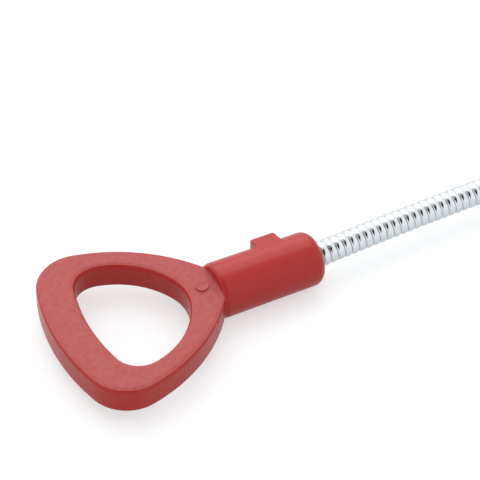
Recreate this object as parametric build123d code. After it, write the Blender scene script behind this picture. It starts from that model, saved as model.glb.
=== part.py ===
from build123d import *
from math import acos, atan2, cos, pi, radians, sin, sqrt, tan
import os

# Dipstick for an automatic gearbox: a moulded handle with a finger loop and a round barrel, a close-wound
# coil shaft with a core wire inside, and a flat gauge blade held on the far end by a crimped ferrule.
# Millimetres. X runs along the shaft towards the blade, and Z is square to the loop's flat faces.
# The origin is on the shaft's axis at the front face of the barrel's tab, where the tube's mouth stops.

# Barrel: a drafted grip behind the tab, and a true cylinder in front of it that plugs the tube
barrel_back = 20.4         # tab's front face to the shoulder at the loop
plug_land = 5.1            # tab's front face to the start of the nose round
plug_r = 6.95
barrel_draft = 0.10        # the barrel's gain in radius from the tab to the shoulder
shoulder_round = 1.2
shoulder_flats = 2
nose_round = 2.8
nose_flats = 3

# Tab on the barrel's side: it stops the tube and keys the handle
tab_length = 6.6
tab_reach = 8.1            # axis to the tab's outer face
tab_half = 5.0             # half the tab's height at its outer face
tab_bevel = 0.7

# Finger loop: a flat ring between two rounded triangles, each made of tangent arcs
loop_thick = 7.5
loop_edge_round = 1.2
loop_corner_back = 29.25   # shoulder to the centres of the corner rounds
loop_corner_y = 13.4
loop_corner_r = 10.5
loop_base_r = 57.0
loop_side_r = 44.6
loop_apex_back = 6.7       # shoulder to the centre of the apex round
loop_apex_r = 9.2

# Hole in the loop, placed from the loop's own outline
hole_corner_inset_x = 4.3  # between the centres of the corner rounds
hole_corner_inset_y = 2.7
hole_corner_r = 6.3
hole_base_r = 50.0
hole_side_r = 21.0
hole_apex_inset = 12.9     # between the centres of the apex rounds
hole_apex_r = 12.0
hole_edge_round = 1.3

# Marks that the mould leaves: a raised gate disc by the neck, and an ejector mark at each corner
gate_back = 3.4            # shoulder to the disc's centre
gate_y = -0.5
gate_r = 1.75
gate_rise = 0.3
ejector_out_x = 3.45       # corner round's centre to the mark's centre
ejector_out_y = 4.3
ejector_r = 1.35
ejector_depth = 0.12

# Coil shaft: a flattened wire wound close, with a crowned ring for each turn that shows
reach = 380.0              # tab's front face to the blade's tip
coil_od = 6.5
wire_thick = 1.3
coil_pitch = 2.08
turn_depth = 0.33          # crown of a turn to the valley beside it
coil_sides = 8             # flat sides of the shaft's section
coil_in_barrel = 16.0
seat_gap = 0.05            # room all round a piece in its bore or pocket

# Core wire inside the coil
core_r = 1.0
core_in_handle = 5.0       # past the coil's end
core_in_ferrule = 2.0

# Ferrule that joins coil and blade
ferrule_wall = 0.6
ferrule_web = 0.9          # solid stretch between the core wire's seat and the blade's
ferrule_lip = 0.3
coil_in_ferrule = 8.0
crimp_depth = 0.3
crimp_width = 2.4

# Gauge blade: a flat strip with a tang in the ferrule and notched level marks near its tip
blade_length = 104.0       # ferrule's end to the tip
blade_width = 7.0
blade_thick = 1.2
tang_width = 4.2
tang_length = 6.0
level_low = 18.0           # tip to the lower notches
level_high = 36.0
notch_r = 0.9

shoulder_x = -barrel_back
shoulder_r = plug_r + barrel_draft
nose_x = plug_land + nose_round
loop_corner_x = shoulder_x - loop_corner_back
loop_apex_x = shoulder_x - loop_apex_back
coil_r = coil_od / 2
coil_start = nose_x - coil_in_barrel
ferrule_r = coil_r + seat_gap + ferrule_wall
ferrule_end = reach - blade_length
coil_end = ferrule_end - tang_length - ferrule_web - core_in_ferrule - 2 * seat_gap
ferrule_start = coil_end - coil_in_ferrule


def towards(centre, point, radius):
    """The point on a circle round centre that faces another point."""
    return centre + (point - centre).normalized() * radius


def between(centre, start, end, radius):
    """The middle of the shorter arc from start to end round centre."""
    return centre + ((start - centre) + (end - centre)).normalized() * radius


def mirrored(point):
    return Vector(point.X, -point.Y)


def rounded_triangle(corner_x, corner_y, corner_r, base_r, side_r, apex_x, apex_r):
    """A face bounded by a base, two corners, two sides and an apex, all tangent arcs, even about X."""
    corner = Vector(corner_x, corner_y)
    apex = Vector(apex_x, 0)
    base = Vector(corner_x + sqrt((base_r - corner_r) ** 2 - corner_y ** 2), 0)
    run = apex - corner
    along = ((side_r - corner_r) ** 2 - (side_r - apex_r) ** 2 + run.length ** 2) / (2 * run.length)
    across = sqrt((side_r - corner_r) ** 2 - along ** 2)
    unit = run.normalized()
    side = corner + unit * along + Vector(unit.Y, -unit.X) * across

    base_end = towards(base, corner, base_r)
    side_start = towards(side, corner, side_r)
    side_end = towards(side, apex, side_r)
    half = [
        ThreePointArc(base_end, between(corner, base_end, side_start, corner_r), side_start),
        ThreePointArc(side_start, between(side, side_start, side_end, side_r), side_end),
    ]
    base_arc = ThreePointArc(mirrored(base_end), Vector(base.X - base_r, 0), base_end)
    apex_arc = ThreePointArc(side_end, Vector(apex_x + apex_r, 0), mirrored(side_end))
    return make_face([base_arc, *half, apex_arc, *[mirror(edge, Plane.XZ) for edge in half]])


def flats(centre_x, centre_r, radius, start, end, count):
    """Corners of the narrow flats that stand for an edge round and touch its arc, from start to end."""
    step = (end - start) / (count + 1)
    corner_r = radius / cos(radians(step / 2))
    angles = [radians(start + (corner + 0.5) * step) for corner in range(count + 1)]
    return [(centre_x + corner_r * cos(angle), centre_r + corner_r * sin(angle)) for angle in angles]


def turned(outline):
    """A closed outline of X and radius, turned about the shaft's axis."""
    return revolve(make_face(Plane.XZ * Polyline(*outline, close=True)), Axis.X)


def faceted(outline, sides):
    """A closed outline of X and radius, carried round the shaft's axis in flat sides."""
    step = 2 * pi / sides
    faces = []
    for side in range(sides):
        turns = [(cos(step * edge), sin(step * edge)) for edge in (side, side + 1)]
        for start, end in zip(outline, outline[1:] + outline[:1]):
            near, far = [[(x, r * y, r * z) for x, r in (start, end)] for y, z in turns]
            faces.append(Face(Wire.make_polygon([near[0], near[1], far[1], far[0]])))
    return Solid(Shell(faces))


def rod(radius, start, end):
    """A round bar along X."""
    return extrude(Plane.YZ.offset(start) * Circle(radius), end - start)


def eased(ring, side, wire_of, radius):
    """The ring with one rim's edge round, as a steep and a shallow flat that touch its arc."""
    down = radius * (1 - tan(radians(15)))
    inward = down * tan(radians(30))
    for across, along in ((inward, down), (down - inward, down - inward)):
        face = ring.faces().sort_by(Axis.Z)[side]
        ring = chamfer(wire_of(face).edges(), across, along, reference=face)
    return ring


def finger_loop():
    outer = rounded_triangle(loop_corner_x, loop_corner_y, loop_corner_r, loop_base_r,
                             loop_side_r, loop_apex_x, loop_apex_r)
    hole = rounded_triangle(loop_corner_x + hole_corner_inset_x, loop_corner_y - hole_corner_inset_y,
                            hole_corner_r, hole_base_r, hole_side_r,
                            loop_apex_x - hole_apex_inset, hole_apex_r)
    ring = extrude(outer - hole, loop_thick / 2, both=True)
    for side in (0, -1):
        ring = eased(ring, side, Face.outer_wire, loop_edge_round)
        ring = eased(ring, side, lambda face: face.inner_wires()[0], hole_edge_round)
    return ring


def barrel():
    outline = [
        (shoulder_x, 0),
        *flats(shoulder_x + shoulder_round, shoulder_r - shoulder_round, shoulder_round,
               180, 90, shoulder_flats),
        (0, plug_r),
        *flats(plug_land, plug_r - nose_round, nose_round, 90, 0, nose_flats),
        (nose_x, 0),
    ]
    return turned(outline)


def tab():
    """A block on the barrel's side, whose upper and lower faces leave the barrel without a step."""
    corner = Vector(tab_reach, tab_half)
    leave = atan2(tab_half, tab_reach) + acos(plug_r / corner.length)
    root = Vector(cos(leave), sin(leave)) * plug_r
    outline = Polyline((0, 0), root, corner, mirrored(corner), mirrored(root), close=True)
    block = extrude(Plane.YZ.offset(-tab_length) * make_face(outline), tab_length)
    outer = block.faces().sort_by(Axis.Y)[-1]
    return chamfer(outer.edges(), tab_bevel)


def handle():
    body = finger_loop() + barrel() + tab()
    face = loop_thick / 2
    body += Pos(shoulder_x - gate_back, gate_y, face) * Cylinder(gate_r, 2 * gate_rise)
    for side in (1, -1):
        mark = Pos(loop_corner_x - ejector_out_x, side * (loop_corner_y + ejector_out_y), face)
        body -= mark * Cylinder(ejector_r, 2 * ejector_depth)
    body -= rod(coil_r + seat_gap, coil_start - seat_gap, nose_x)
    body -= rod(core_r + seat_gap, coil_start - core_in_handle - seat_gap, nose_x)
    return body


def shaft_coil():
    """One tube: plain where it is hidden, with a ring for each turn from the barrel to the ferrule."""
    inside = coil_r - wire_thick
    outline = [(coil_start, inside), (coil_start, coil_r), (nose_x - coil_pitch / 2, coil_r)]
    for turn in range(int((ferrule_start - nose_x) / coil_pitch)):
        valley = nose_x + turn * coil_pitch
        outline += [(valley, coil_r - turn_depth), (valley + coil_pitch / 2, coil_r)]
    outline += [(coil_end, coil_r), (coil_end, inside)]
    return faceted(outline, coil_sides)


def core_wire():
    return rod(core_r, coil_start - core_in_handle, coil_end + core_in_ferrule)


def tip_ferrule():
    body = rod(ferrule_r, ferrule_start, ferrule_end)
    body = chamfer(body.edges().filter_by(GeomType.CIRCLE), ferrule_lip)
    crimp_x = ferrule_start + coil_in_ferrule / 2
    around = rod(ferrule_r + ferrule_wall, crimp_x - crimp_width / 2, crimp_x + crimp_width / 2)
    body -= around - rod(ferrule_r - crimp_depth, ferrule_start, ferrule_end)
    body -= rod(coil_r + seat_gap, ferrule_start, coil_end + seat_gap)
    body -= rod(core_r + seat_gap, coil_end, coil_end + core_in_ferrule + seat_gap)
    slot = Box(tang_length + seat_gap, tang_width + 2 * seat_gap, blade_thick + 2 * seat_gap,
               align=(Align.MAX, Align.CENTER, Align.CENTER))
    return body - Pos(ferrule_end, 0, 0) * slot


def gauge_blade():
    tip_r = blade_width / 2
    strip = Rectangle(blade_length - tip_r, blade_width, align=(Align.MIN, Align.CENTER))
    outline = Pos(ferrule_end, 0) * strip + Pos(reach - tip_r, 0) * Circle(tip_r)
    outline += Pos(ferrule_end, 0) * Rectangle(tang_length, tang_width, align=(Align.MAX, Align.CENTER))
    for level in (level_low, level_high):
        for side in (1, -1):
            outline -= Pos(reach - level, side * tip_r) * Circle(notch_r)
    return extrude(outline, blade_thick / 2, both=True)


os.makedirs("parts", exist_ok=True)
pieces = {
    "handle": handle(),
    "shaft_coil": shaft_coil(),
    "core_wire": core_wire(),
    "tip_ferrule": tip_ferrule(),
    "gauge_blade": gauge_blade(),
}
for name, piece in pieces.items():
    export_step(piece, f"parts/{name}.step")
    print(name, len(piece.solids()), "solid,", round(piece.volume, 1), "cubic mm")
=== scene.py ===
import math

import bpy
from mathutils import Matrix, Vector


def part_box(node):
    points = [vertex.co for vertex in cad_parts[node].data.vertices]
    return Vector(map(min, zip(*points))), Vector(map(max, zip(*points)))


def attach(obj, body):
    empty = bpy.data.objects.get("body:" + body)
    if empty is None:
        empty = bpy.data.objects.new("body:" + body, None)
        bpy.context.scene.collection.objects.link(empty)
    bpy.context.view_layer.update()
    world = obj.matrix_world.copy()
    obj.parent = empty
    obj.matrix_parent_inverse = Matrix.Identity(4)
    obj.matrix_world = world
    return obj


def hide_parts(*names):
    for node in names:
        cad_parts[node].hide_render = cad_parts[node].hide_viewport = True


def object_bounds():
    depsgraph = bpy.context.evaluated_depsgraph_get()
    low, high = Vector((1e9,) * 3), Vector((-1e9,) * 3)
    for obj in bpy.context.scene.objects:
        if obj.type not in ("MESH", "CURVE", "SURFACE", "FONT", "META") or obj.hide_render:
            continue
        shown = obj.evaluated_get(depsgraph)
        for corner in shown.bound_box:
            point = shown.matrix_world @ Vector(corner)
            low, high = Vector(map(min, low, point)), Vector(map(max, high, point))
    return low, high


bl_info = {
    "name": "Dipstick Finish",
    "version": (1, 0, 0),
    "blender": (4, 5, 0),
    "location": "3D View > Sidebar > Dipstick",
    "description": "Dresses a dipstick over its fixed frame and sets a plain studio round it",
    "category": "Object",
}

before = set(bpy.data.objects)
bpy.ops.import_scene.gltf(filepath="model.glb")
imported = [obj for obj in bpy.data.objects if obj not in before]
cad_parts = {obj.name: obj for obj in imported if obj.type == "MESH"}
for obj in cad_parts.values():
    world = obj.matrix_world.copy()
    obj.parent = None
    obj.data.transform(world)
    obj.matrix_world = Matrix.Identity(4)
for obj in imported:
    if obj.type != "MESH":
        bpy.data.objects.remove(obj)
CAD_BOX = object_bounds()
HANDLE_LOW, HANDLE_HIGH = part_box("handle")
COIL_LOW, COIL_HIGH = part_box("shaft_coil")
CORE_LOW, CORE_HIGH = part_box("core_wire")
FERRULE_LOW, FERRULE_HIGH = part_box("tip_ferrule")
BLADE_LOW, BLADE_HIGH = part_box("gauge_blade")
MM = 0.001


def length(name, description, default):
    """A size in metres that a user may set."""
    return bpy.props.FloatProperty(name=name, description=description, default=default,
                                   unit="LENGTH", precision=5)


def colour(name, description, default):
    return bpy.props.FloatVectorProperty(name=name, description=description, default=default,
                                         subtype="COLOR", size=3, min=0.0, max=1.0)


def angle(name, description, degrees):
    return bpy.props.FloatProperty(name=name, description=description, default=math.radians(degrees),
                                   subtype="ANGLE")


def share(name, description, default):
    return bpy.props.FloatProperty(name=name, description=description, default=default,
                                   subtype="FACTOR", min=0.0, max=1.0)


def strength(name, description, default):
    return bpy.props.FloatProperty(name=name, description=description, default=default, min=0.0)


class HandleSettings(bpy.types.PropertyGroup):
    skin_step: length("Skin step", "Size of the faces of the moulding's skin", 0.27 * MM)
    soften_passes: bpy.props.IntProperty(
        name="Soften passes", description="How far the moulding's edges are rounded over", default=4)
    shoulder: length("Shoulder", "Place of the barrel's shoulder along the shaft", -20.4 * MM)
    face_height: length("Face height", "Height of the loop's flat faces over its middle", 3.75 * MM)
    gate_place: bpy.props.FloatVectorProperty(
        name="Gate place", description="Middle of the raised gate disc, on the loop's upper face",
        subtype="TRANSLATION", default=(-23.8 * MM, -0.5 * MM, 3.75 * MM))
    gate_radius: length("Gate radius", "Radius of the gate disc", 1.65 * MM)
    gate_rise: length("Gate rise", "Height of the gate disc over the face", 0.45 * MM)
    plastic: colour("Plastic", "Colour of the smooth moulded plastic", (0.475, 0.017, 0.012))
    # The flat faces' colours below carry a painted sheen: they are paler than the skin to stand in for the
    # whitish reflection of the light on their matt grain. The grain itself is their roughness and their
    # patches.
    face_sheen_plastic: colour("Face plastic", "Colour of the loop's flat faces, which have a matt grain",
                         (0.495, 0.112, 0.112))
    face_patch: colour("Face patches", "Colour of the faces' darker patches", (0.470, 0.050, 0.048))
    patch_size: length("Patch size", "Size of the plastic's lighter and darker patches", 1.1 * MM)
    # The colour below is a painted highlight: the pale line where a flat face starts to round over, and the
    # gate disc's rim.
    highlight_plastic: colour("Edge plastic", "Colour of the rubbed line where a flat face ends",
                         (0.62, 0.14, 0.13))
    edge_drop: length("Edge drop", "How far under the flat face that line lies", 0.26 * MM)
    # The colour below is painted shade, which darkens the plastic deep in its creases.
    painted_crease_shade: colour("Crease plastic", "Colour of the plastic deep in its creases",
                           (0.16, 0.006, 0.005))
    crease_shade_size: length("Crease size", "How far from a crease its darker colour reaches", 1.5 * MM)
    gloss: share("Gloss", "Strength of the plastic's clear reflections", 0.42)
    roughness: share("Roughness", "Roughness of the smooth moulded skin", 0.27)
    face_roughness: share("Face roughness", "Roughness of the loop's flat faces", 0.55)
    grain: length("Grain", "Size of the skin's fine grain", 0.22 * MM)
    parting_line: length("Parting line", "Width of the ridge where the mould's halves met", 0.16 * MM)


class CoilSettings(bpy.types.PropertyGroup):
    pitch: length("Pitch", "Length of one turn of the wire along the shaft", 2.08 * MM)
    crown: length("Crown", "Height of a turn's crown over its shoulders", 0.27 * MM)
    groove: length("Groove", "Depth of the groove beside a turn's shoulders", 0.22 * MM)
    wire_thick: length("Wire", "Thickness of the flattened wire", 1.3 * MM)
    gap: length("Gap", "Space between two turns", 0.03 * MM)
    steps: bpy.props.IntProperty(name="Steps", description="Faces round one turn", default=40)
    bow: length("Bow", "How far the loose shaft bows to its side", 2.5 * MM)
    plating: colour("Plating", "Colour of the zinc plating", (0.79, 0.83, 0.86))
    roughness: share("Roughness", "Roughness of the plating", 0.12)


class TipSettings(bpy.types.PropertyGroup):
    steel: colour("Steel", "Colour of the bare steel", (0.62, 0.63, 0.65))
    roughness: share("Roughness", "Roughness of the brushed steel", 0.30)
    brush: length("Brush", "Spacing of the brush lines", 0.12 * MM)


class StageSettings(bpy.types.PropertyGroup):
    azimuth: angle("Azimuth", "Side that the camera stands on", -28.95)
    elevation: angle("Elevation", "Height of the camera over the horizon", 43.76)
    roll: angle("Roll", "Turn of the camera about its own axis", 1.99)
    distance: length("Distance", "Camera to the point that it aims at", 460.1 * MM)
    aim: bpy.props.FloatVectorProperty(
        name="Aim", description="Point that the camera aims at", subtype="TRANSLATION",
        default=(-10.54 * MM, 5.34 * MM, 8.65 * MM))
    lens: bpy.props.FloatProperty(
        name="Lens", description="Focal length on a 36 mm sensor, in millimetres", default=142.2)
    floor: colour("Floor", "Colour of the floor", (0.605, 0.625, 0.633))
    floor_lift: strength("Floor lift", "Light that the floor adds for the camera", 0.53)
    floor_gloss_lift: strength("Floor gloss lift", "Light that the floor adds for what mirrors it", 0.28)
    ambient: strength("Ambient", "Strength of the light from all round", 0.75)
    key_power: strength("Key power", "Power of the soft light behind the object, in watts", 3.2)
    key_size: length("Key size", "Side of the soft light", 0.90)
    key_distance: length("Key distance", "Soft light to the object", 0.80)
    key_direction: bpy.props.FloatVectorProperty(
        name="Key direction", description="Where the soft light stands, seen from the object",
        subtype="DIRECTION", default=(0.10, 0.62, 0.78))
    dark_side: share("Dark side", "Brightness of the room's dark opening, seen in metal", 0.0)
    dark_height: angle("Dark height", "Half the height of the room's dark opening, as an angle", 38.0)
    dark_width: angle("Dark width", "Half the width of the opening at its middle, as an angle", 26.0)
    dark_taper: share("Dark taper", "How far the opening narrows towards its foot", 0.70)
    lamp_place: share("Lamp place", "Height of the lamp in the opening, as a share of half its height", 0.80)
    lamp_width: share("Lamp width", "Width of the lamp, as a share of the opening's", 0.26)
    lamp_height: share("Lamp height", "Height of the lamp, as a share of the opening's", 0.50)


def choose(piece):
    """Leaves one object selected and active."""
    bpy.ops.object.select_all(action="DESELECT")
    piece.select_set(True)
    bpy.context.view_layer.objects.active = piece


def apply_modifiers(piece):
    choose(piece)
    for modifier in list(piece.modifiers):
        bpy.ops.object.modifier_apply(modifier=modifier.name)


def edit_all(piece):
    """Opens a piece in edit mode with everything selected."""
    choose(piece)
    bpy.ops.object.mode_set(mode="EDIT")
    bpy.ops.mesh.select_all(action="SELECT")


def close_edit():
    bpy.ops.object.mode_set(mode="OBJECT")


def edit_chosen(piece, parts, mode, wanted):
    """Opens a piece in edit mode with only the wanted faces or edges selected."""
    edit_all(piece)
    bpy.ops.mesh.select_mode(type=mode)
    bpy.ops.mesh.select_all(action="DESELECT")
    close_edit()
    for part in getattr(piece.data, parts):
        part.select = wanted(part)
    bpy.ops.object.mode_set(mode="EDIT")


def merged_copy(node, name):
    """A copy of a node's mesh with its loose triangles joined."""
    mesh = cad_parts[node].data.copy()
    piece = bpy.data.objects.new(name, mesh)
    bpy.context.scene.collection.objects.link(piece)
    mesh.materials.clear()
    edit_all(piece)
    bpy.ops.mesh.remove_doubles(threshold=1e-6)
    close_edit()
    return piece


def finish_piece(piece, node, material):
    """Gives a piece its finish and lets it stand for its node."""
    if not piece.data.polygons:
        raise RuntimeError(f"{piece.name} has no faces")
    piece.data.materials.clear()
    piece.data.materials.append(material)
    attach(piece, "root")
    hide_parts(node)


def bow_shift(x, bow):
    """Sideways shift of the loose shaft: none at its ends, and most a third of the way from the barrel."""
    start, end = HANDLE_HIGH.x, FERRULE_LOW.x
    t = min(max((x - start) / (end - start), 0.0), 1.0)
    return bow * 27 / 4 * t * (1 - t) ** 2


def bow_piece(piece, bow):
    for vertex in piece.data.vertices:
        vertex.co.y += bow_shift(vertex.co.x, bow)


def new_material(name):
    """A material with its shader, and the tools to add nodes to it."""
    material = bpy.data.materials.new(name)
    material.use_nodes = True
    tree = material.node_tree
    return material, tree, tree.nodes["Principled BSDF"]


def add_node(tree, kind, **values):
    """A node with its inputs set by name, such as Scale=3.0."""
    node = tree.nodes.new(kind)
    for name, value in values.items():
        node.inputs[name.replace("_", " ")].default_value = value
    return node


def feed(tree, socket, value):
    """Gives a socket a plain value, or links another node's output to it."""
    if isinstance(value, bpy.types.NodeSocket):
        tree.links.new(value, socket)
    elif socket.type == "RGBA":
        socket.default_value = (*value, 1)
    else:
        socket.default_value = value


def add_math(tree, operation, *values):
    node = tree.nodes.new("ShaderNodeMath")
    node.operation = operation
    for socket, value in zip(node.inputs, values):
        feed(tree, socket, value)
    return node.outputs[0]


def add_noise(tree, place, size, detail):
    """Cloudy noise whose features are about one size across."""
    noise = add_node(tree, "ShaderNodeTexNoise", Scale=1 / size, Detail=detail)
    tree.links.new(place, noise.inputs["Vector"])
    return noise.outputs["Fac"]


def map_range(tree, value, low, high, to_low, to_high):
    node = add_node(tree, "ShaderNodeMapRange", From_Min=low, From_Max=high, To_Min=to_low, To_Max=to_high)
    tree.links.new(value, node.inputs["Value"])
    return node.outputs["Result"]


def mix_colour(tree, factor, first, second):
    """A mix of two colours, each a plain colour or another node's output."""
    node = tree.nodes.new("ShaderNodeMix")
    node.data_type = "RGBA"
    sockets = {socket.identifier: socket for socket in node.inputs}
    feed(tree, sockets["Factor_Float"], factor)
    feed(tree, sockets["A_Color"], first)
    feed(tree, sockets["B_Color"], second)
    return next(socket for socket in node.outputs if socket.identifier == "Result_Color")


def add_bump(tree, height, distance, amount, under=None):
    bump = add_node(tree, "ShaderNodeBump", Strength=amount, Distance=distance)
    tree.links.new(height, bump.inputs["Height"])
    if under is not None:
        tree.links.new(under, bump.inputs["Normal"])
    return bump.outputs["Normal"]


def clouded_finish():
    """Node group: noise that clouds a finish between two colours and two roughnesses."""
    group = bpy.data.node_groups.get("clouded_finish")
    if group:
        return group
    group = bpy.data.node_groups.new("clouded_finish", "ShaderNodeTree")
    for name, kind in (("Place", "Vector"), ("Scale", "Float"), ("Clear colour", "Color"),
                       ("Dull colour", "Color"), ("Clear roughness", "Float"), ("Dull roughness", "Float")):
        group.interface.new_socket(name, in_out="INPUT", socket_type="NodeSocket" + kind)
    for name, kind in (("Colour", "Color"), ("Roughness", "Float"), ("Height", "Float")):
        group.interface.new_socket(name, in_out="OUTPUT", socket_type="NodeSocket" + kind)
    given = group.nodes.new("NodeGroupInput").outputs
    result = group.nodes.new("NodeGroupOutput").inputs
    noise = add_node(group, "ShaderNodeTexNoise", Detail=4, Roughness=0.65)
    group.links.new(given["Place"], noise.inputs["Vector"])
    group.links.new(given["Scale"], noise.inputs["Scale"])
    clouds = map_range(group, noise.outputs["Fac"], 0.32, 0.68, 0, 1)
    group.links.new(mix_colour(group, clouds, given["Clear colour"], given["Dull colour"]), result["Colour"])
    spread = add_math(group, "SUBTRACT", given["Dull roughness"], given["Clear roughness"])
    added = add_math(group, "MULTIPLY", spread, clouds)
    group.links.new(add_math(group, "ADD", added, given["Clear roughness"]), result["Roughness"])
    group.links.new(clouds, result["Height"])
    return group


def add_clouding(tree, shader, place, size, colours, roughnesses):
    """Clouds a shader's colour and roughness, and gives the clouds' height for a bump."""
    node = tree.nodes.new("ShaderNodeGroup")
    node.node_tree = clouded_finish()
    tree.links.new(place, node.inputs["Place"])
    node.inputs["Scale"].default_value = 1 / size
    for name, value in zip(("Clear colour", "Dull colour", "Clear roughness", "Dull roughness"),
                           (*colours, *roughnesses)):
        feed(tree, node.inputs[name], value)
    tree.links.new(node.outputs["Colour"], shader.inputs["Base Color"])
    tree.links.new(node.outputs["Roughness"], shader.inputs["Roughness"])
    return node.outputs["Height"]


def red_plastic(settings):
    """Moulded plastic: a smooth skin, matt mottled faces on the loop with a painted sheen, painted highlights
    on the faces' edges and the gate disc's rim, painted shade in the creases, and a parting line.
    """
    material, tree, shader = new_material("red_plastic")
    shader.inputs["Specular IOR Level"].default_value = settings.gloss
    place = tree.nodes.new("ShaderNodeTexCoord").outputs["Object"]
    split = tree.nodes.new("ShaderNodeSeparateXYZ")
    tree.links.new(place, split.inputs[0])
    off_middle = add_math(tree, "ABSOLUTE", split.outputs["Z"])
    below_face = add_math(tree, "SUBTRACT", settings.face_height, off_middle)
    on_loop = add_math(tree, "LESS_THAN", split.outputs["X"], settings.shoulder)
    # Mask of the loop's flat faces, which get a painted sheen as a paler colour, and a rougher finish.
    high = map_range(tree, below_face, 0.8 * settings.edge_drop, 1.2 * settings.edge_drop, 1, 0)
    face = add_math(tree, "MULTIPLY", high, on_loop)

    # A painted highlight along the line just under each flat face, where its edge starts to round over.
    off_edge = add_math(tree, "ABSOLUTE", add_math(tree, "SUBTRACT", below_face, settings.edge_drop))
    near_edge = map_range(tree, off_edge, 0.1 * settings.edge_drop, 0.35 * settings.edge_drop, 1, 0)
    highlight = add_math(tree, "MULTIPLY", near_edge, on_loop)
    # A painted highlight on the gate disc's rim, mixed in with the edges' painted highlight.
    off_rim = add_math(tree, "ABSOLUTE", add_math(tree, "ADD", below_face, settings.gate_rise))
    on_rim = map_range(tree, off_rim, 0.1 * settings.gate_rise, 0.3 * settings.gate_rise, 0.7, 0)
    light = add_math(tree, "MAXIMUM", highlight, add_math(tree, "MULTIPLY", on_rim, on_loop))
    # Painted shade: an occlusion test darkens the plastic towards a dark red in its creases, where less light
    # falls.
    open_sky = add_node(tree, "ShaderNodeAmbientOcclusion", Distance=settings.crease_shade_size)
    open_sky.samples = 8
    open_sky.only_local = True
    crease = map_range(tree, open_sky.outputs["AO"], 0.25, 0.75, 0.85, 0)
    colours = []
    # Both face colours carry the painted sheen; the clouds between them are the grain's random patches.
    for patch in (settings.face_sheen_plastic, settings.face_patch):
        skin = mix_colour(tree, light, mix_colour(tree, face, settings.plastic, patch), settings.highlight_plastic)
        colours.append(mix_colour(tree, crease, skin, settings.painted_crease_shade))
    roughnesses = [map_range(tree, face, 0, 1, settings.roughness + change,
                             settings.face_roughness + 2 * change)
                   for change in (0.03, -0.03)]
    add_clouding(tree, shader, place, settings.patch_size, colours, roughnesses)

    ridge = map_range(tree, off_middle, 0.3 * settings.parting_line, 0.7 * settings.parting_line, 1, 0)
    seam = add_bump(tree, ridge, 0.06 * MM, 0.2)
    grain = add_noise(tree, place, settings.grain, 2)
    depth = map_range(tree, face, 0, 1, 0.05, 1)
    tree.links.new(add_bump(tree, add_math(tree, "MULTIPLY", grain, depth), 0.05 * MM, 0.7, seam),
                   shader.inputs["Normal"])
    return material


def plated_wire(settings):
    """Bright zinc plating with faint clouding."""
    material, tree, shader = new_material("plated_wire")
    shader.inputs["Metallic"].default_value = 1.0
    place = tree.nodes.new("ShaderNodeTexCoord").outputs["Object"]
    dull = [0.94 * part for part in settings.plating]
    add_clouding(tree, shader, place, 2.5 * MM, (settings.plating, dull),
                 (settings.roughness - 0.03, settings.roughness + 0.05))
    return material


def brushed_steel(settings):
    """Bare steel brushed along the shaft, one material for every steel piece."""
    material = bpy.data.materials.get("brushed_steel")
    if material:
        return material
    material, tree, shader = new_material("brushed_steel")
    shader.inputs["Metallic"].default_value = 1.0
    place = tree.nodes.new("ShaderNodeTexCoord").outputs["Object"]
    stretch = tree.nodes.new("ShaderNodeMapping")
    stretch.inputs["Scale"].default_value = (0.02, 1, 1)
    tree.links.new(place, stretch.inputs["Vector"])
    dull = [0.86 * part for part in settings.steel]
    lines = add_clouding(tree, shader, stretch.outputs["Vector"], settings.brush, (settings.steel, dull),
                         (settings.roughness - 0.06, settings.roughness + 0.08))
    tree.links.new(add_bump(tree, lines, 0.01 * MM, 0.2), shader.inputs["Normal"])
    return material


def join_into(piece, *extras):
    """Makes other objects part of a piece."""
    choose(piece)
    for extra in extras:
        extra.select_set(True)
    bpy.ops.object.join()


def gate_disc(settings):
    """The low disc where the plastic was fed in: a dished top, an eased rim and a foot sunk in the face."""
    bpy.ops.object.select_all(action="DESELECT")
    bpy.ops.mesh.primitive_cylinder_add(vertices=64, radius=settings.gate_radius,
                                        depth=2 * settings.gate_rise, location=settings.gate_place)
    disc = bpy.context.active_object
    bpy.ops.object.transform_apply(location=True, rotation=True, scale=True)
    edit_chosen(disc, "polygons", "FACE", lambda face: face.normal.z > 0.5)
    bpy.ops.mesh.inset(thickness=0.25 * settings.gate_radius)
    bpy.ops.transform.translate(value=(0, 0, -0.4 * settings.gate_rise))
    close_edit()
    rim = disc.modifiers.new("rim", "BEVEL")
    rim.width = settings.gate_rise / 3
    rim.segments = 3
    apply_modifiers(disc)
    bpy.ops.object.shade_smooth_by_angle(angle=math.radians(35))
    return disc


class DIPSTICK_OT_handle(bpy.types.Operator):
    """Models the moulded handle: the solid's skin with every edge rounded over"""
    bl_idname = "dipstick.handle"
    bl_label = "Moulded handle"

    def execute(self, context):
        settings = context.scene.dipstick_handle
        piece = merged_copy("handle", "moulded_handle")
        # The plain gate disc is pressed flat, because a finer one is joined on below
        for vertex in piece.data.vertices:
            if vertex.co.x < settings.shoulder:
                vertex.co.z = min(vertex.co.z, settings.face_height)
        skin = piece.modifiers.new("skin", "REMESH")
        skin.mode = "VOXEL"
        skin.voxel_size = settings.skin_step
        skin.use_smooth_shade = True
        soften = piece.modifiers.new("soften", "SMOOTH")
        soften.factor = 0.5
        soften.iterations = settings.soften_passes
        apply_modifiers(piece)
        bpy.ops.object.shade_smooth()
        join_into(piece, gate_disc(settings))
        finish_piece(piece, "handle", red_plastic(settings))
        return {"FINISHED"}


def wire_section(settings):
    """Outline of the flattened wire as X and radius: a crowned outside and a flat inside."""
    outside = COIL_HIGH.z
    half = (settings.pitch - settings.gap) / 2
    shoulder = half - settings.groove / 2
    crown_r = (shoulder ** 2 + settings.crown ** 2) / (2 * settings.crown)
    reach = math.asin(shoulder / crown_r)
    crown_points = 7
    points = []
    for step in range(crown_points):
        turn = reach * (2 * step / (crown_points - 1) - 1)
        points.append((crown_r * math.sin(turn), outside - crown_r * (1 - math.cos(turn))))
    foot = outside - settings.crown - settings.groove
    inside = outside - settings.wire_thick
    return [(-half, foot), *points, (half, foot), (half, inside), (-half, inside)]


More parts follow.
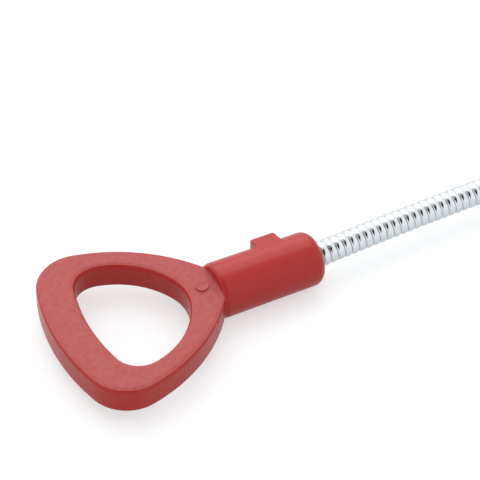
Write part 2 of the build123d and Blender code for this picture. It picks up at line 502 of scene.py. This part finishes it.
class DIPSTICK_OT_coil(bpy.types.Operator):
    """Winds the shaft's flattened wire into its close coil"""
    bl_idname = "dipstick.coil"
    bl_label = "Wound coil"

    def execute(self, context):
        settings = context.scene.dipstick_coil
        section = wire_section(settings)
        turns = int((COIL_HIGH.x - COIL_LOW.x) / settings.pitch) - 1
        start = COIL_LOW.x + settings.pitch / 2
        bpy.ops.object.select_all(action="DESELECT")
        bpy.ops.mesh.primitive_circle_add(vertices=len(section), radius=COIL_HIGH.z)
        piece = context.active_object
        piece.name = "wound_coil"
        for vertex, (x, radius) in zip(piece.data.vertices, section):
            vertex.co = (start + x, 0, radius)
        winding = piece.modifiers.new("winding", "SCREW")
        winding.axis = "X"
        winding.angle = 2 * math.pi
        winding.screw_offset = settings.pitch
        winding.iterations = turns
        winding.steps = winding.render_steps = settings.steps
        apply_modifiers(piece)
        edit_all(piece)
        bpy.ops.mesh.remove_doubles(threshold=1e-6)
        bpy.ops.mesh.fill_holes(sides=0)
        bpy.ops.mesh.select_all(action="SELECT")
        bpy.ops.mesh.normals_make_consistent(inside=False)
        close_edit()
        bpy.ops.object.shade_smooth_by_angle(angle=math.radians(40))
        bow_piece(piece, settings.bow)
        finish_piece(piece, "shaft_coil", plated_wire(settings))
        return {"FINISHED"}


class DIPSTICK_OT_core(bpy.types.Operator):
    """Models the core wire, which follows the coil's bow"""
    bl_idname = "dipstick.core"
    bl_label = "Core wire"

    def execute(self, context):
        span = CORE_HIGH.x - CORE_LOW.x
        middle = (CORE_HIGH.x + CORE_LOW.x) / 2
        bpy.ops.object.select_all(action="DESELECT")
        bpy.ops.mesh.primitive_cylinder_add(vertices=20, radius=CORE_HIGH.z, depth=span,
                                            location=(middle, 0, 0), rotation=(0, math.pi / 2, 0))
        piece = context.active_object
        piece.name = "bowed_core_wire"
        bpy.ops.object.transform_apply(location=True, rotation=True, scale=True)

        def runs_along(edge):
            first, second = (piece.data.vertices[i].co for i in edge.vertices)
            return abs(first.x - second.x) > span / 2

        edit_chosen(piece, "edges", "EDGE", runs_along)
        bpy.ops.mesh.subdivide(number_cuts=60)
        close_edit()
        bpy.ops.object.shade_smooth_by_angle(angle=math.radians(40))
        bow_piece(piece, context.scene.dipstick_coil.bow)
        finish_piece(piece, "core_wire", brushed_steel(context.scene.dipstick_tip))
        return {"FINISHED"}


class DIPSTICK_OT_tip(bpy.types.Operator):
    """Finishes the ferrule and the gauge blade"""
    bl_idname = "dipstick.tip"
    bl_label = "Ferrule and blade"

    def execute(self, context):
        steel = brushed_steel(context.scene.dipstick_tip)
        for node in ("tip_ferrule", "gauge_blade"):
            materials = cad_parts[node].data.materials
            materials.clear()
            materials.append(steel)
        return {"FINISHED"}


def camera_axes(settings):
    """The camera's right, up and backward directions."""
    level = math.cos(settings.elevation)
    back = Vector((math.sin(settings.azimuth) * level, -math.cos(settings.azimuth) * level,
                   math.sin(settings.elevation)))
    right = Vector((0, 0, 1)).cross(back).normalized()
    up = back.cross(right)
    turn = Matrix.Rotation(settings.roll, 3, back)
    return turn @ right, turn @ up, back


def add_camera(settings):
    right, up, back = camera_axes(settings)
    camera = bpy.data.objects.new("camera", bpy.data.cameras.new("camera"))
    camera.data.lens = settings.lens
    camera.data.sensor_width = 36.0
    camera.data.clip_start = 10 * MM
    place = Vector(settings.aim) + settings.distance * back
    camera.matrix_world = Matrix((right, up, back)).transposed().to_4x4()
    camera.location = place
    bpy.context.scene.collection.objects.link(camera)
    bpy.context.scene.camera = camera


def add_floor(settings):
    """A pale floor that keeps its shadows, with a little light of its own for the camera and for metal."""
    bpy.ops.object.select_all(action="DESELECT")
    bpy.ops.mesh.primitive_plane_add(size=12, location=(0, 0, CAD_BOX[0].z))
    floor = bpy.context.active_object
    floor.name = "floor"
    material = bpy.data.materials.new("floor")
    material.use_nodes = True
    tree = material.node_tree
    tree.nodes.clear()
    matt = add_node(tree, "ShaderNodeBsdfDiffuse", Color=(*settings.floor, 1))
    lift = add_node(tree, "ShaderNodeEmission", Color=(1, 1, 1, 1))
    rays = tree.nodes.new("ShaderNodeLightPath")
    mirrored = add_math(tree, "MAXIMUM", rays.outputs["Is Glossy Ray"], rays.outputs["Is Transmission Ray"])
    seen = add_math(tree, "MULTIPLY", rays.outputs["Is Camera Ray"], settings.floor_lift)
    gleam = add_math(tree, "MULTIPLY", mirrored, settings.floor_gloss_lift)
    tree.links.new(add_math(tree, "MAXIMUM", seen, gleam), lift.inputs["Strength"])
    both = tree.nodes.new("ShaderNodeAddShader")
    tree.links.new(matt.outputs[0], both.inputs[0])
    tree.links.new(lift.outputs[0], both.inputs[1])
    output = tree.nodes.new("ShaderNodeOutputMaterial")
    tree.links.new(both.outputs[0], output.inputs["Surface"])
    floor.data.materials.append(material)


def add_dot(tree, vector, direction):
    node = tree.nodes.new("ShaderNodeVectorMath")
    node.operation = "DOT_PRODUCT"
    tree.links.new(vector, node.inputs[0])
    node.inputs[1].default_value = direction
    return node.outputs["Value"]


def add_ellipse(tree, across, up, half_width, half_height):
    """Square of the distance from an ellipse's middle: one on its rim."""
    wide = add_math(tree, "POWER", add_math(tree, "DIVIDE", across, half_width), 2)
    high = add_math(tree, "POWER", add_math(tree, "DIVIDE", up, half_height), 2)
    return add_math(tree, "ADD", wide, high)


def room_brightness(tree, settings):
    """White, but for the dark opening that the camera looks out of, with a lamp hung in its top."""
    towards = tree.nodes.new("ShaderNodeTexCoord").outputs["Generated"]
    back = camera_axes(settings)[2]
    rise = back.cross(Vector((1, 0, 0))).normalized()
    side = rise.cross(back)
    up = add_dot(tree, towards, rise)
    across = add_dot(tree, towards, side)
    half_height = math.sin(settings.dark_height)
    half_width = math.sin(settings.dark_width)
    widening = settings.dark_taper * half_width / half_height
    width = add_math(tree, "ADD", add_math(tree, "MULTIPLY", up, widening), half_width)
    opening = add_ellipse(tree, across, up, width, half_height)
    bright = map_range(tree, opening, 0.7, 1.35, settings.dark_side, 1)
    above = add_math(tree, "SUBTRACT", up, settings.lamp_place * half_height)
    lamp = add_ellipse(tree, across, above, settings.lamp_width * half_width,
                       settings.lamp_height * half_height)
    return add_math(tree, "MAXIMUM", bright, map_range(tree, lamp, 0.6, 1.3, 1, 0))


def add_world(settings):
    """White all round, with the room's dark opening for metal and gloss to show."""
    world = bpy.data.worlds.new("studio")
    bpy.context.scene.world = world
    world.use_nodes = True
    tree = world.node_tree
    tree.nodes.clear()
    rays = tree.nodes.new("ShaderNodeLightPath")
    seen = add_math(tree, "MAXIMUM", room_brightness(tree, settings), rays.outputs["Is Camera Ray"])
    shown = add_math(tree, "MAXIMUM", rays.outputs["Is Camera Ray"], rays.outputs["Is Glossy Ray"])
    shown = add_math(tree, "MAXIMUM", shown, rays.outputs["Is Transmission Ray"])
    backdrop = tree.nodes.new("ShaderNodeBackground")
    tree.links.new(seen, backdrop.inputs["Strength"])
    backdrop.inputs["Color"].default_value = (1, 1, 1, 1)
    light = add_node(tree, "ShaderNodeBackground", Color=(1, 1, 1, 1), Strength=settings.ambient)
    mix = tree.nodes.new("ShaderNodeMixShader")
    tree.links.new(shown, mix.inputs["Fac"])
    tree.links.new(light.outputs[0], mix.inputs[1])
    tree.links.new(backdrop.outputs[0], mix.inputs[2])
    output = tree.nodes.new("ShaderNodeOutputWorld")
    tree.links.new(mix.outputs[0], output.inputs["Surface"])


def add_key_light(settings):
    """A large soft light above and behind the object."""
    light = bpy.data.lights.new("key_light", "AREA")
    light.energy = settings.key_power
    light.size = settings.key_size
    lamp = bpy.data.objects.new("key_light", light)
    direction = Vector(settings.key_direction).normalized()
    lamp.location = Vector(settings.aim) + settings.key_distance * direction
    lamp.rotation_mode = "QUATERNION"
    lamp.rotation_quaternion = direction.to_track_quat("Z", "Y")
    bpy.context.scene.collection.objects.link(lamp)


class DIPSTICK_OT_stage(bpy.types.Operator):
    """Sets the floor, the light and the camera"""
    bl_idname = "dipstick.stage"
    bl_label = "Studio"

    def execute(self, context):
        settings = context.scene.dipstick_stage
        context.scene.view_settings.view_transform = "Standard"
        add_floor(settings)
        add_world(settings)
        add_key_light(settings)
        add_camera(settings)
        return {"FINISHED"}


class DIPSTICK_PT_pieces(bpy.types.Panel):
    """Lists the dipstick's pieces and their sizes"""
    bl_idname = "DIPSTICK_PT_pieces"
    bl_label = "Dipstick"
    bl_space_type = "VIEW_3D"
    bl_region_type = "UI"
    bl_category = "Dipstick"

    def draw(self, context):
        for operator, group in PANEL_ROWS:
            box = self.layout.box()
            box.operator(operator)
            settings = getattr(context.scene, group)
            for name in settings.__annotations__:
                box.prop(settings, name)


SETTINGS = {
    "dipstick_handle": HandleSettings,
    "dipstick_coil": CoilSettings,
    "dipstick_tip": TipSettings,
    "dipstick_stage": StageSettings,
}
PANEL_ROWS = (
    ("dipstick.handle", "dipstick_handle"),
    ("dipstick.coil", "dipstick_coil"),
    ("dipstick.core", "dipstick_coil"),
    ("dipstick.tip", "dipstick_tip"),
    ("dipstick.stage", "dipstick_stage"),
)
CLASSES = (
    *SETTINGS.values(),
    DIPSTICK_OT_handle,
    DIPSTICK_OT_coil,
    DIPSTICK_OT_core,
    DIPSTICK_OT_tip,
    DIPSTICK_OT_stage,
    DIPSTICK_PT_pieces,
)


def register():
    for cls in CLASSES:
        bpy.utils.register_class(cls)
    for name, group in SETTINGS.items():
        setattr(bpy.types.Scene, name, bpy.props.PointerProperty(type=group))


def unregister():
    for name in SETTINGS:
        delattr(bpy.types.Scene, name)
    for cls in reversed(CLASSES):
        bpy.utils.unregister_class(cls)


def main():
    register()
    bpy.ops.dipstick.handle()
    bpy.ops.dipstick.coil()
    bpy.ops.dipstick.core()
    bpy.ops.dipstick.tip()
    bpy.ops.dipstick.stage()


if __name__ == "__main__":
    main()
